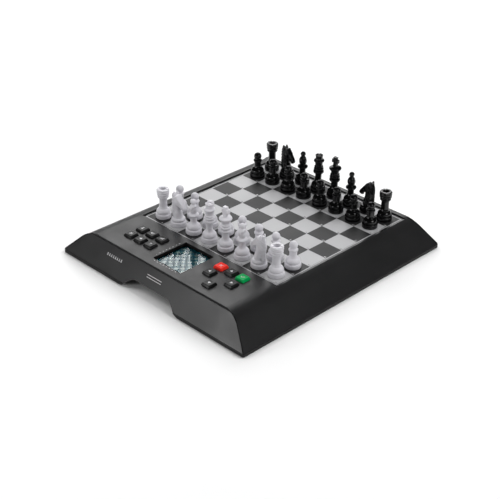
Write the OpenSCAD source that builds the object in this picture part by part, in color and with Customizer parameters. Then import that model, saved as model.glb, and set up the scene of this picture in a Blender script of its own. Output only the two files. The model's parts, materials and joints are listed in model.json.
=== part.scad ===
// Electronic chess computer: a low black casing with a pressure-sensitive playing surface,
// a square display, twelve keys and a full set of chess men.
// Origin: centre of the footprint on the resting plane. +X player's right, +Y away from the player.

/* [Casing] */
// Width of the casing, left to right
casing_w = 283; // [280:1:288]
// Depth of the casing, front to back
casing_d = 311; // [308:1:316]
// Height of the top panel above the lower edge of the casing
casing_h = 31.5; // [31:0.5:33]
// Wall thickness of the top cover
wall = 2.2; // [2:0.1:2.4]
// Radius of the long shoulders on the left and right
shoulder_r = 32; // [29:1:34]
// Slope of the left and right flanks, in degrees
flank_angle = 45; // [43:1:47]
// Height of the band round the bottom edge
band_h = 3.5; // [3:0.5:4]
// Height of the rubber feet below the casing
foot_h = 1; // [0.8:0.1:1.4]
// How far the front and back faces lean in
face_run = 15.5; // [14:0.5:17]

/* [Playing surface] */
// Side of one square
square = 25; // [24:0.5:25]
// Black border between the outer squares and the edge of the recess
border = 4.5; // [4:0.5:5]
// How far the surface lies below the top panel
board_drop = 1.5; // [1:0.25:2]
// Distance from the centre of the casing to the centre of the surface, to the right
board_x = 3.25; // [0:0.25:3.25]
// Distance from the centre of the casing to the centre of the surface, to the back
board_y = 29.75; // [28:0.25:30]

/* [Control panel] */
// Side of a key at the panel
key_w = 12; // [11.5:0.1:12.2]
// Height of a key above the panel
key_h = 2.8; // [2.4:0.1:3]
// Travel of a key
key_travel = 1; // [0.8:0.1:1.1]
// Width of the display window
window_w = 43.4; // [42:0.2:44]
// Depth of the display window, front to back
window_d = 47.4; // [46:0.2:48]
// How deep the display glass lies under the panel
glass_drop = 2.6; // [2.5:0.1:3]

/* [Chess men] */
// Radius of the base of a king
base_r = 8.8; // [8.5:0.1:9.5]
// Height of all men, as a share of the standard set
man_scale = 1; // [0.95:0.01:1.05]

/* [Hidden] */
$fn = 48;
band_z0 = foot_h;
band_z1 = band_z0 + band_h;
floor_t = 2;
floor_z = band_z0 + floor_t;
panel_z = band_z0 + casing_h;
ceiling_z = panel_z - wall;
ledge = 0.6;                    // the cover stands this far inside the band
corner_r = 2.4;
board_z = panel_z - board_drop;
sheet_t = 1;
foil_t = 0.6;
pocket_w = 8 * square + 2 * border;
pocket_z = board_z - sheet_t - foil_t;
pocket_floor = 2;
window_y = -104.1;
frame_t = 1.6;
glass_z = panel_z - glass_drop;
glass_t = 1.5;
pcb_z = 22;                     // upper face of the main circuit board
pcb_t = 1.6;
pcb_x = 86;
pcb_y0 = -134;
pcb_y1 = -60;
pcb_posts_x = [-84, -31, 31, 84];
pcb_posts_y = [-130, -68];
mat_t = 1.2;
dome_h = 2.6;
flange_w = 14;
flange_t = 1.2;
flange_gap = 0.3;
notch_z = 12.8;                 // highest point of the finger recess
notch_top = 24.5;
notch_half = 47;
notch_depth = 27;
notch_wall = 1.8;
screw_x = 114;
screw_rows = [-112, 5, 114];
screw_r = 1.4;
foot_r = 6;
foot_x = 118;
foot_y = 130;
post_r = 3;
cell_r = 7.1;
cell_l = 49.5;
cell_pitch = 14.9;
bay_w = 47;
bay_y0 = 84;
bay_y1 = 141;
bay_wall = 1.8;
bay_back = 1.2;
tongue_in = 1;
tongue_out = 1.7;
tongue_z = [3.3, 4.6];
ring_in = 5;
bay_top = 19.6;
cell_z = 12.2;
door_gap = 0.3;
door_y0 = 82.6;
rail_w = 4;
rail_top = 6;
jack_x = 100;
jack_z = 9.5;
jack_nose_r = 4.3;
jack_back = 145.2;
speaker_x = -92;
speaker_y = -20;
speaker_r = 14;

files = ["a", "b", "c", "d", "e", "f", "g", "h"];
ranks = ["rook", "knight", "bishop", "queen", "king", "bishop", "knight", "rook"];

black = [0.07, 0.07, 0.075];
ivory = [0.78, 0.77, 0.80];
ebony = [0.03, 0.03, 0.035];

// name, x, y, colour of each key
left_x = [-74.2, -58.3, -42.4];
right_x = [42.4, 58.3, 74.2];
left_y = [-96.6, -113.2];
right_y = [-90, -106, -122];
keys = [
    ["key_new_game", left_x[0], left_y[0], black], ["key_sound", left_x[1], left_y[0], black],
    ["key_level", left_x[2], left_y[0], black], ["key_position", left_x[0], left_y[1], black],
    ["key_take_back", left_x[1], left_y[1], black], ["key_hint", left_x[2], left_y[1], black],
    ["key_cancel", right_x[0], right_y[0], "red"], ["key_up", right_x[1], right_y[0], black],
    ["key_enter", right_x[2], right_y[0], "green"], ["key_left", right_x[0], right_y[1], black],
    ["key_right", right_x[2], right_y[1], black], ["key_down", right_x[1], right_y[2], black]
];

function man_name(side, f, r) =
    r == 1 ? str(side, "_pawn_", files[f])
    : (ranks[f] == "queen" || ranks[f] == "king") ? str(side, "_", ranks[f])
    : str(side, "_", ranks[f], "_", files[f]);

// ---- helpers -------------------------------------------------------------------------

module block(x, y, z) {
    translate([x[0], y[0], z[0]]) cube([x[1] - x[0], y[1] - y[0], z[1] - z[0]]);
}

// block that spans from a to b on the side s of the centre plane x = 0
module side_block(s, a, b, y, z) {
    block([min(s * a, s * b), max(s * a, s * b)], y, z);
}

module rounded_rect(w, d, r) {
    square([w - 2 * r, d], center = true);
    square([w, d - 2 * r], center = true);
    for (sx = [-1, 1], sy = [-1, 1])
        translate([sx * (w / 2 - r), sy * (d / 2 - r)]) circle(r);
}

module rounded_slab(w, d, r, z) {
    translate([0, 0, z[0]]) linear_extrude(z[1] - z[0]) rounded_rect(w, d, r);
}

module along_y(y) {
    translate([0, y[1], 0]) rotate([90, 0, 0]) linear_extrude(y[1] - y[0]) children();
}

module rod(x, y, z, r) {
    translate([x, y, z[0]]) cylinder(h = z[1] - z[0], r = r);
}

// Catmull-Rom curve through points p, n steps to a stretch; two points stay a straight line
function blend(a, b, c, d, t) =
    0.5 * (2 * b + (c - a) * t + (2 * a - 5 * b + 4 * c - d) * t * t
    + (3 * b - a - 3 * c + d) * t * t * t);
function curve(p, n = 4) = len(p) < 3 ? p : concat(
    [for (i = [0:len(p) - 2], j = [0:n - 1]) blend(
        i == 0 ? 2 * p[0] - p[1] : p[i - 1], p[i], p[i + 1],
        i == len(p) - 2 ? 2 * p[i + 1] - p[i] : p[i + 2], j / n)],
    [p[len(p) - 1]]);
function arc(cx, cy, r, a0, a1, n) =
    [for (i = [0:n]) let (a = a0 + (a1 - a0) * i / n) [cx + r * cos(a), cy + r * sin(a)]];
function join(runs) = [for (run = runs, p = curve(run)) p];

// ---- casing shape --------------------------------------------------------------------

// section from left to right: flat top, round shoulders, straight flanks
module width_section(inset) {
    r = shoulder_r - inset;
    foot_half = casing_w / 2 - ledge;
    drop = shoulder_r * (1 - cos(flank_angle));
    run = (casing_h - band_h - drop) / tan(flank_angle);
    cx = foot_half - run - shoulder_r * sin(flank_angle);
    cz = panel_z - shoulder_r;
    tx = cx + r * sin(flank_angle);
    tz = cz + r * cos(flank_angle);
    bx = tx + (tz - band_z1) / tan(flank_angle);
    polygon([[-bx, band_z1], [bx, band_z1], [tx, tz], [cx, cz + r], [-cx, cz + r], [-tx, tz]]);
    for (s = [-1, 1]) intersection() {
        translate([s * cx, cz]) circle(r, $fn = 160);
        translate([-casing_w, band_z1]) square([2 * casing_w, casing_h]);
    }
}

// section from front to back: leaning faces with a small chamfer at the top edge
module depth_section(inset) {
    lean = face_run / (casing_h - band_h);
    side = inset * sqrt(1 + lean * lean);
    half = casing_d / 2 - ledge - side;
    top = panel_z - inset;
    cut = 1;
    top_half = half - lean * (top - band_z1);
    polygon([[-half, band_z1], [half, band_z1], [top_half + lean * cut, top - cut],
        [top_half - cut, top], [cut - top_half, top], [-top_half - lean * cut, top - cut]]);
}

module casing_form(inset) {
    intersection() {
        along_y([-casing_d / 2, casing_d / 2]) width_section(inset);
        translate([-casing_w / 2, 0, 0]) rotate([90, 0, 90]) linear_extrude(casing_w)
            depth_section(inset);
        rounded_slab(casing_w - 2 * ledge - 2 * inset, casing_d - 2 * ledge - 2 * inset,
            corner_r, [band_z0, panel_z]);
    }
}

// arch of the finger recess, in the front's plane
module notch_outline(grow) {
    steps = 12;
    top = notch_z + grow;
    rise = [for (i = [0:steps]) let (t = i / steps)
        [notch_top + (notch_half + grow - notch_top) * t, top - (top - band_z0) * t * t * (3 - 2 * t)]];
    polygon(concat([[notch_half + grow, band_z0 - 1]], [for (i = [steps:-1:0]) rise[i]],
        [for (p = rise) [-p[0], p[1]]], [[-notch_half - grow, band_z0 - 1]]));
}

module finger_recess(grow, depth) {
    along_y([-casing_d / 2 - 1, -casing_d / 2 + depth]) notch_outline(grow);
}

module at_housing_screws() {
    for (sx = [-1, 1], y = screw_rows) translate([sx * screw_x, y, 0]) children();
}

module at_pcb_posts() {
    for (x = pcb_posts_x, y = pcb_posts_y) translate([x, y, 0]) children();
}

module at_feet() {
    for (sx = [-1, 1], sy = [-1, 1]) translate([sx * foot_x, sy * foot_y, 0]) children();
}

// ---- casing parts --------------------------------------------------------------------

module top_cover() color(black) {
    boss_r = 4;
    boss_z = rail_top + 0.3;
    pilot_r = screw_r + 0.1;
    difference() {
        union() {
            difference() {
                casing_form(0);
                casing_form(wall);
                // open underside
                rounded_slab(casing_w - 2 * ledge - 6, casing_d - 2 * ledge - 6, corner_r,
                    [band_z0, band_z1 + 0.6]);
            }
            intersection() {
                casing_form(wall / 2);
                union() {
                    translate([board_x, board_y, 0])
                        rounded_slab(pocket_w + 4, pocket_w + 4, 2, [pocket_z - pocket_floor, panel_z]);
                    translate([0, window_y, 0])
                        rounded_slab(window_w + 2 * frame_t, window_d + 2 * frame_t, 2,
                            [glass_z, panel_z]);
                    at_housing_screws() rod(0, 0, [boss_z, panel_z], boss_r);
                    at_pcb_posts() rod(0, 0, [pcb_z, panel_z], 3);
                }
            }
        }
        translate([board_x, board_y, 0])
            rounded_slab(pocket_w, pocket_w, 1.5, [pocket_z, panel_z + 1]);
        translate([0, window_y, 0])
            rounded_slab(window_w, window_d, 1, [glass_z - 1, panel_z + 1]);
        for (k = keys) translate([k[1], k[2], 0])
            rounded_slab(key_w + 0.7, key_w + 0.7, 1.5, [ceiling_z - 1, panel_z + 1]);
        at_housing_screws() rod(0, 0, [boss_z - 1, 17], pilot_r);
        at_pcb_posts() rod(0, 0, [pcb_z - 1, 27], 1.1);
        // slot for the tail of the sensor foil
        block([board_x - 11, board_x + 11], [board_y - pocket_w / 2, board_y - pocket_w / 2 + 2.6],
            [pocket_z - pocket_floor - 1, pocket_z + 1]);
        finger_recess(0, notch_depth);
        // opening for the power socket
        translate([jack_x, jack_back - 2, jack_z]) rotate([-90, 0, 0]) cylinder(h = 20, r = 4.8);
    }
}

module bay_rails() {
    for (s = [-1, 1]) difference() {
        side_block(s, bay_w / 2, bay_w / 2 + rail_w, [door_y0 - 2.6, casing_d / 2 - 4],
            [band_z0, rail_top]);
        side_block(s, bay_w / 2 - tongue_in, bay_w / 2 + tongue_out, [door_y0, casing_d / 2], tongue_z);
    }
}

module battery_bay() {
    difference() {
        block([-bay_w / 2 - bay_wall, bay_w / 2 + bay_wall], [bay_y0 - bay_wall, bay_y1 + bay_back],
            [floor_z + 1.6, bay_top + bay_wall]);
        block([-bay_w / 2, bay_w / 2], [bay_y0, bay_y1], [band_z0, bay_top]);
    }
    block([-bay_w / 2 - bay_wall, bay_w / 2 + bay_wall], [door_y0 - 2.6, door_y0], [band_z0, rail_top]);
}

module bottom_housing() color(black) {
    support_x = [-66, -22, 22, 66];
    support_y = [-35, 25];
    support_z = pocket_z - pocket_floor - 0.1;
    difference() {
        union() {
            rounded_slab(casing_w, casing_d, corner_r, [band_z0, floor_z]);
            difference() {
                rounded_slab(casing_w, casing_d, corner_r, [band_z0, band_z1]);
                rounded_slab(casing_w - 6, casing_d - 6, corner_r - 2, [floor_z - 0.5, band_z1 + 1]);
            }
            at_housing_screws() rod(0, 0, [floor_z - 0.5, rail_top], 5.5);
            for (x = support_x, y = support_y) rod(x, y, [floor_z - 0.5, support_z], post_r);
            for (x = [support_x[0], support_x[3]]) rod(x, 105, [floor_z - 0.5, support_z], post_r);
            rod(speaker_x, speaker_y, [floor_z - 0.5, floor_z + 4], speaker_r + 2);
            for (s = [-1, 1]) translate([jack_x + s * 6, 0, 0])
                block([-0.8, 0.8], [131.5, 146], [floor_z - 0.5, 12]);
            bay_rails();
            battery_bay();
        }
        finger_recess(0, notch_depth);
        at_housing_screws() {
            rod(0, 0, [0, 4.2], 3.3);
            rod(0, 0, [0, rail_top + 1], screw_r + 0.3);
        }
        at_feet() rod(0, 0, [0, band_z0 + 1.2], foot_r + 0.1);
        rod(speaker_x, speaker_y, [floor_z, floor_z + 5], speaker_r + 0.3);
        // slots of the speaker grille
        for (i = [-3:3]) translate([speaker_x, speaker_y + 3 * i, 0])
            block([-9, 9], [-0.7, 0.7], [0, floor_z + 1]);
        // way of the battery door and of its tongues through the band
        block([-bay_w / 2, bay_w / 2], [door_y0 - 0.1, casing_d / 2 + 1], [0, floor_z + 1.6]);
        for (s = [-1, 1]) side_block(s, bay_w / 2 - tongue_in, bay_w / 2 + tongue_out,
            [casing_d / 2 - ring_in, casing_d / 2 + 1], tongue_z);
    }
}

// hood over the finger recess, standing on the floor of the housing
module recess_liner() color(black) {
    difference() {
        intersection() {
            union() {
                casing_form(wall + 0.4);
                rounded_slab(casing_w - 6, casing_d - 6, corner_r - 2, [floor_z, band_z1]);
            }
            finger_recess(notch_wall, notch_depth + notch_wall);
        }
        finger_recess(0, notch_depth);
    }
}

module battery_door() color(black) {
    half = bay_w / 2 - door_gap;
    back = casing_d / 2;
    difference() {
        union() {
            block([-half, half], [door_y0 + door_gap, back], [band_z0, floor_z]);
            block([-half, half], [back - 3, back], [band_z0, band_z1 - 0.2]);
            for (s = [-1, 1]) {
                side_block(s, half - 1.5, half, [door_y0 + 2, back - 3],
                    [floor_z - 0.5, floor_z + 1.3]);
                side_block(s, half - 1, half + 1.6, [door_y0 + 2, back - 6],
                    [floor_z + 0.6, floor_z + 1.3]);
            }
        }
        // finger grooves on the underside
        for (i = [0:4]) block([-12, 12], [back - 14 - 3 * i, back - 12.8 - 3 * i],
            [band_z0 - 1, band_z0 + 0.6]);
    }
}

module rubber_feet() color("dimgray") {
    at_feet() rod(0, 0, [0, band_z0 + 1.2], foot_r);
}

module housing_screws() color("silver") {
    at_housing_screws() difference() {
        union() {
            rod(0, 0, [2.2, 4.2], 2.8);
            rod(0, 0, [4, 15], screw_r);
        }
        for (a = [0, 90]) rotate([0, 0, a]) block([-1.7, 1.7], [-0.4, 0.4], [2, 3.2]);
    }
}

// ---- playing surface -----------------------------------------------------------------

module playing_surface() color([0.72, 0.72, 0.73]) {
    translate([board_x, board_y, 0])
        rounded_slab(pocket_w - 0.6, pocket_w - 0.6, 1.2, [board_z - sheet_t, board_z]);
}

module sensor_foil() color([0.85, 0.6, 0.25]) {
    front = board_y - pocket_w / 2;
    translate([board_x, board_y, 0])
        rounded_slab(pocket_w - 1, pocket_w - 1, 1.2, [pocket_z, board_z - sheet_t]);
    block([board_x - 10, board_x + 10], [front + 0.8, front + 1.2], [pcb_z, pocket_z + 0.1]);
}

// ---- display and electronics ---------------------------------------------------------

module display_glass() color([0.55, 0.68, 0.72]) {
    translate([0, window_y, 0])
        rounded_slab(window_w + 6, window_d + 5, 1, [glass_z - glass_t, glass_z]);
}

module display_module() color([0.6, 0.66, 0.68]) {
    top = glass_z - glass_t - 0.1;
    translate([0, window_y, 0]) {
        rounded_slab(window_w + 4, window_d + 3, 1, [pcb_z, top - 1.1]);
        rounded_slab(window_w + 2, window_d + 1, 0.6, [top - 1.2, top]);
    }
}

module main_circuit_board() color([0.1, 0.35, 0.18]) {
    difference() {
        block([-pcb_x, pcb_x], [pcb_y0, pcb_y1], [pcb_z - pcb_t, pcb_z]);
        at_pcb_posts() rod(0, 0, [pcb_z - pcb_t - 1, pcb_z + 1], 1.5);
    }
    // parts on the underside
    under = pcb_z - pcb_t;
    block([-7, 7], [-112, -98], [under - 1.6, under]);
    block([24, 34], [-116, -108], [under - 1.4, under]);
    block([board_x - 12, board_x + 12], [-78, -66], [under - 2.4, under]);
    for (x = [-60, -48, 52, 64]) rod(x, -76, [under - 6, under], 3);
    for (x = [-72:6:-24]) block([x - 1, x + 1], [-96.8, -95.2], [under - 0.8, under]);
}

module board_screws() color("silver") {
    at_pcb_posts() {
        rod(0, 0, [pcb_z - pcb_t - 1.4, pcb_z - pcb_t], 2.3);
        rod(0, 0, [pcb_z - pcb_t - 0.1, 26.5], 1);
    }
}

// the screws of the housing and those of the circuit board
module screws() {
    housing_screws();
    board_screws();
}

module keypad_mat() color([0.35, 0.35, 0.36]) {
    margin = 6.7;
    for (side = [[left_x, left_y], [right_x, right_y]]) {
        xs = side[0];
        ys = side[1];
        block([xs[0] - margin, xs[2] + margin], [ys[len(ys) - 1] - margin, ys[0] + margin],
            [pcb_z, pcb_z + mat_t]);
    }
    for (k = keys) translate([k[1], k[2], pcb_z + mat_t - 0.1])
        cylinder(h = dome_h + 0.1, r1 = 4.6, r2 = 3.2);
}

module speaker() color([0.3, 0.3, 0.32]) {
    rod(speaker_x, speaker_y, [floor_z, floor_z + 3], speaker_r);
    rod(speaker_x, speaker_y, [floor_z + 2.9, floor_z + 6.5], 8);
}

module power_jack() color([0.12, 0.12, 0.13]) {
    difference() {
        union() {
            block([jack_x - 5, jack_x + 5], [132, jack_back], [floor_z, 14.5]);
            translate([jack_x, jack_back - 1, jack_z]) rotate([-90, 0, 0])
                cylinder(h = 4.2, r = jack_nose_r);
        }
        translate([jack_x, 138, jack_z]) rotate([-90, 0, 0]) cylinder(h = 20, r = 2.85);
    }
    translate([jack_x, 137, jack_z]) rotate([-90, 0, 0]) cylinder(h = 10.4, r = 1);
}

module batteries() color([0.2, 0.3, 0.45]) {
    nub = 1;
    for (i = [-1:1]) translate([i * cell_pitch, (bay_y0 + bay_y1) / 2 + (i == 0 ? -0.7 : 0.7), cell_z])
        rotate([i == 0 ? 90 : -90, 0, 0]) translate([0, 0, -cell_l / 2]) {
            cylinder(h = cell_l - nub, r = cell_r);
            translate([0, 0, cell_l - nub - 0.1]) cylinder(h = nub + 0.1, r = 2.7);
        }
}

module battery_contacts() color("silver") {
    wire = 0.35;
    for (i = [-1:1], end = [0, 1]) {
        spring = (i == 0) ? (end == 1) : (end == 0);
        y = (end == 0) ? bay_y0 : bay_y1;
        translate([i * cell_pitch, y, cell_z]) rotate([(end == 0) ? -90 : 90, 0, 0]) {
            translate([-6, -6, 0]) cube([12, 12, 0.4]);
            if (spring) for (k = [0:2]) translate([0, 0, 0.4 + wire + k * 0.6])
                rotate_extrude() translate([4.6 - k * 0.55, 0]) circle(wire, $fn = 16);
        }
    }
}

// ---- keys ----------------------------------------------------------------------------

module key_cap(k) color(k[3]) {
    flange_z = ceiling_z - flange_gap;
    shoulder = panel_z + key_h * 0.25;
    translate([k[1], k[2], 0]) {
        rounded_slab(flange_w, flange_w, 1.2, [flange_z - flange_t, flange_z]);
        rounded_slab(key_w, key_w, 1.2, [flange_z - 0.1, shoulder]);
        translate([0, 0, shoulder]) linear_extrude(panel_z + key_h - shoulder, scale = 0.84)
            rounded_rect(key_w, key_w, 1.2, $fn = 24);
        block([-3, 3], [-3, 3], [pcb_z + mat_t + dome_h + key_travel + 0.2, flange_z - flange_t]);
    }
}

// ---- chess men -----------------------------------------------------------------------

// foot, groove and bell that all men share, up to a stem of radius stem at height top
function base_runs(stem, top) = [
    [[0, 0], [base_r - 0.6, 0]],
    [[base_r - 0.6, 0], [base_r, 0.7], [base_r, 4.2], [base_r - 0.35, 5]],
    [[base_r - 1.2, 5.5]],
    [[base_r - 1.2, 6], [base_r - 0.95, 7], [base_r - 1.15, 8.6], [base_r - 2.2, 10.4],
     [base_r - 3.6, 11.6]],
    [[stem + 0.7, 12.2], [stem + 0.2, 13.6], [stem, 15], [stem, top]]
];
// rounded collar of height h that stands out from radius r
function ring(r, z, h, out) = [[r, z], [r + out * 0.8, z + h * 0.2], [r + out, z + h * 0.5],
    [r + out * 0.8, z + h * 0.8], [r, z + h]];
// ball of radius r centred at height z, from where it leaves a neck to its top
function ball(z, r, neck) = arc(0, z, r, -acos(neck / r), 90, 8);

module turned(runs) {
    scale(man_scale) rotate_extrude($fn = 64) polygon(join(runs));
}

module pawn() {
    turned(concat(base_runs(4, 19.2), [ring(4, 19.2, 2.8, 1.1), [[3.6, 22.4]], ball(26, 4.5, 3.4)]));
}

module rook() {
    difference() {
        turned(concat(base_runs(4.4, 23.4), [
            [[4.4, 23.4], [4.7, 24.2], [6, 25], [6.3, 26], [5.9, 27]],
            [[5.7, 27.3]], [[6.4, 27.8], [6.95, 28.8], [6.7, 30]],
            [[6.5, 30.3]], [[6.9, 30.8], [7.15, 31.8], [6.95, 32.8]],
            [[6.75, 33.1]], [[7.05, 33.5], [7.1, 34.4], [6.3, 35.4]],
            [[3.9, 35.4], [3.5, 34.9]], [[3.5, 31.4], [0, 31.4]]]));
        // shallow notches in the battlement
        scale(man_scale) for (i = [0:5]) rotate([0, 0, 60 * i + 15])
            block([3, 8], [-0.5, 0.5], [34.8, 37]);
    }
}

module bishop() {
    difference() {
        turned(concat(base_runs(3.6, 19.4), [
            [[3.6, 19.4], [5.4, 20.5], [6.1, 21.8], [5.7, 23], [4.1, 23.8], [3.3, 24.7]],
            [[3.3, 24.7], [4.2, 26.6], [4.6, 29], [4.4, 31.4], [3.5, 33.4], [2.4, 34.8], [2.1, 35.3]],
            ball(37.9, 3.1, 2.1)]));
        // slit of the mitre
        scale(man_scale) translate([1.2, 0, 30]) rotate([0, -40, 0])
            block([0, 8], [-8, 8], [-0.45, 0.45]);
    }
}

module queen() {
    difference() {
        turned(concat(base_runs(3.8, 22.2), [
            ring(4.6, 22.2, 4.2, 1.6), ring(4.7, 26.7, 2.7, 1.1), ring(4.5, 29.7, 2.1, 0.8),
            [[4.5, 31.8], [4.4, 33.2], [4.6, 35.2], [5.4, 36.8]],
            [[5.4, 36.8], [6.1, 37.6], [6.15, 38.6], [5.6, 39.4]],
            [[4.4, 40]], [[4.2, 40.6], [4.1, 42.2], [4.4, 44], [4.5, 45.4]],
            [[3.4, 45.4]], [[3.1, 44.2]], [[2.9, 44.2], [1.6, 45], [0, 45.3]]]));
        // points of the coronet
        scale(man_scale) for (i = [0:7]) rotate([0, 0, 45 * i]) translate([2.8, 0, 45.6])
            rotate([0, 90, 0]) cylinder(h = 3, r = 0.8, $fn = 24);
    }
}

// stout cross with flared arms, standing on the king's crown
module king_cross() {
    arm = 4.3;
    tip = 2.3;
    waist = 1.9;
    mid = 46.2;
    top = 51;
    foot = 39.2;
    thick = 4;
    translate([0, thick / 2, 0]) rotate([90, 0, 0]) linear_extrude(thick) polygon([
        [-2.7, foot], [2.7, foot], [waist, mid - waist], [arm, mid - tip], [arm, mid + tip],
        [waist, mid + waist], [tip + 0.3, top], [-tip - 0.3, top], [-waist, mid + waist],
        [-arm, mid + tip], [-arm, mid - tip], [-waist, mid - waist]]);
}

module king() {
    turned(concat(base_runs(4, 20.8), [
        ring(4.7, 20.8, 3.9, 1.6), ring(4.8, 24.9, 3.3, 1.2), ring(4.7, 28.4, 2.2, 0.7),
        [[4.7, 30.6], [4.6, 31.8], [5, 33.4], [6.1, 35.2], [7, 36.4]],
        [[7, 36.4], [7.2, 37.2], [6.8, 38.1]],
        [[6.8, 38.1], [4.8, 39], [2.9, 39.6]], [[0, 39.6]]]));
    scale(man_scale) king_cross();
}

// horse's head looking along +X, on a turned base
module knight() {
    neck = [[-6.4, 6], [-6.8, 14], [-7.6, 22], [-7.8, 29], [-7, 35], [-5.4, 38.2]];
    ears = [[-5.4, 38.2], [-4.4, 40], [-2.8, 38]];
    face = [[-2.8, 38], [0.5, 35.6], [5, 31], [9.2, 26.4], [11.2, 23.4]];
    jaw = [[11.2, 23.4], [11.2, 21], [9.6, 19.8], [6.6, 21.2], [3.4, 23], [1, 22.6]];
    chest = [[1, 22.6], [1.3, 20], [2.7, 17], [4.6, 13.6], [6, 10.6], [6.4, 6]];
    width = 9.6;
    scale(man_scale) {
        rotate_extrude($fn = 64) polygon(join([
            [[0, 0], [base_r - 0.6, 0]],
            [[base_r - 0.6, 0], [base_r, 0.7], [base_r, 4.2], [base_r - 0.35, 5]],
            [[base_r - 1.2, 5.5]],
            [[base_r - 1.2, 6], [base_r - 0.95, 7], [base_r - 1.2, 8.4], [base_r - 2.2, 9.6]],
            [[0, 9.6]]]));
        translate([0, width / 2, 0]) rotate([90, 0, 0]) linear_extrude(width)
            polygon(join([neck, ears, face, jaw, chest]));
    }
}

module man(kind) {
    if (kind == "pawn") pawn();
    if (kind == "rook") rook();
    if (kind == "knight") knight();
    if (kind == "bishop") bishop();
    if (kind == "queen") queen();
    if (kind == "king") king();
}

// the two knights of a side look at each other
function man_turn(kind, f) = kind == "knight" && f > 3 ? 180 : 0;

module placed_man(side, f, r) {
    row = side == "white" ? r : 7 - r;
    kind = r == 1 ? "pawn" : ranks[f];
    color(side == "white" ? ivory : ebony)
        translate([board_x + (f - 3.5) * square, board_y + (row - 3.5) * square, board_z])
            rotate([0, 0, man_turn(kind, f)]) man(kind);
}

bottom_housing();
recess_liner();
top_cover();
playing_surface();
sensor_foil();
display_glass();
display_module();
main_circuit_board();
screws();
keypad_mat();
speaker();
battery_door();
batteries();
battery_contacts();
power_jack();
rubber_feet();
for (k = keys)
    key_cap(k);
for (side = ["white", "black"], r = [0, 1], f = [0:7])
    placed_man(side, f, r);
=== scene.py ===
import json
import math

import bmesh
import bpy
import numpy as np
from mathutils import Matrix, Vector


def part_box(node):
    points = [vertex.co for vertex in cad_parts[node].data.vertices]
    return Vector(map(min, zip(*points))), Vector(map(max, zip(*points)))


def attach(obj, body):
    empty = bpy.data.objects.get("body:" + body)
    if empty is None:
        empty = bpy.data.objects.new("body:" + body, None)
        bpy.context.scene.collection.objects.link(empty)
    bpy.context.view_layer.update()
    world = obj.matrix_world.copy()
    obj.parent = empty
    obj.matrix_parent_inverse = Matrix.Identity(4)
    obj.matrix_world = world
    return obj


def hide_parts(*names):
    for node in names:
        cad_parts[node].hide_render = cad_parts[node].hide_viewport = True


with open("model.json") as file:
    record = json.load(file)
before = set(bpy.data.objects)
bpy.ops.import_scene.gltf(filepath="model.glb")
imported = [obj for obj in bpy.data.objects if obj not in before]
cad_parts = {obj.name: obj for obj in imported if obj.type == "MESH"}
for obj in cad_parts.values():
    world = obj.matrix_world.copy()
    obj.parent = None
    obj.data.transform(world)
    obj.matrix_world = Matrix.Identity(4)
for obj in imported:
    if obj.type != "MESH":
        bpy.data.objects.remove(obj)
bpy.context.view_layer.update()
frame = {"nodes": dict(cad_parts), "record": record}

MM = 0.001
nodes = frame["nodes"]
scene = bpy.context.scene


# ---- places read from the frame --------------------------------------------------------

def middle(node):
    lo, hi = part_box(node)
    return (lo + hi) / 2


SHEET_LO, SHEET_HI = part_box("playing_surface")
BOARD = Vector((*((SHEET_LO + SHEET_HI) / 2).xy, SHEET_HI.z))
SQUARE = (middle("white_rook_h").x - middle("white_rook_a").x) / 7
FIELD = 4 * SQUARE
PANEL_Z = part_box("top_cover")[1].z
FILES = "abcdefgh"
KEYS = sorted(n for n in nodes if n.startswith("key_"))


# ---- materials -------------------------------------------------------------------------

class Graph:
    """Short calls for building a node tree."""

    def __init__(self, name):
        self.mat = bpy.data.materials.new(name)
        self.mat.use_nodes = True
        self.tree = self.mat.node_tree
        self.shader = self.tree.nodes["Principled BSDF"]
        self.coord = self.tree.nodes.new("ShaderNodeTexCoord").outputs["Object"]

    def add(self, kind, links=(), **values):
        node = self.tree.nodes.new(kind)
        for key, value in values.items():
            setattr(node, key, value)
        for socket, source in dict(links).items():
            if isinstance(source, bpy.types.NodeSocket):
                self.tree.links.new(source, node.inputs[socket])
            else:
                node.inputs[socket].default_value = source
        return node

    def noise(self, scale, detail=3.0, rough=0.5, stretch=None):
        vector = self.coord
        if stretch:
            vector = self.add("ShaderNodeMapping", {"Vector": vector, "Scale": stretch}).outputs[0]
        return self.add("ShaderNodeTexNoise", {"Vector": vector, "Scale": scale, "Detail": detail,
                                               "Roughness": rough}).outputs["Fac"]

    def ramp(self, fac, stops):
        node = self.add("ShaderNodeValToRGB", {"Fac": fac})
        while len(node.color_ramp.elements) < len(stops):
            node.color_ramp.elements.new(0.5)
        for element, (place, color) in zip(node.color_ramp.elements, stops):
            element.position = place
            element.color = (*color, 1)
        return node.outputs["Color"]

    def span(self, fac, low, high, start=0.3, end=0.7):
        return self.add("ShaderNodeMapRange", {"Value": fac, "From Min": start, "From Max": end,
                                               "To Min": low, "To Max": high}).outputs["Result"]

    def bump(self, height, distance, strength=1.0, normal=None):
        links = {"Height": height, "Distance": distance, "Strength": strength}
        if normal:
            links["Normal"] = normal
        return self.add("ShaderNodeBump", links).outputs["Normal"]

    def into(self, socket, source):
        if isinstance(source, bpy.types.NodeSocket):
            self.tree.links.new(source, self.shader.inputs[socket])
        else:
            self.shader.inputs[socket].default_value = source


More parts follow.
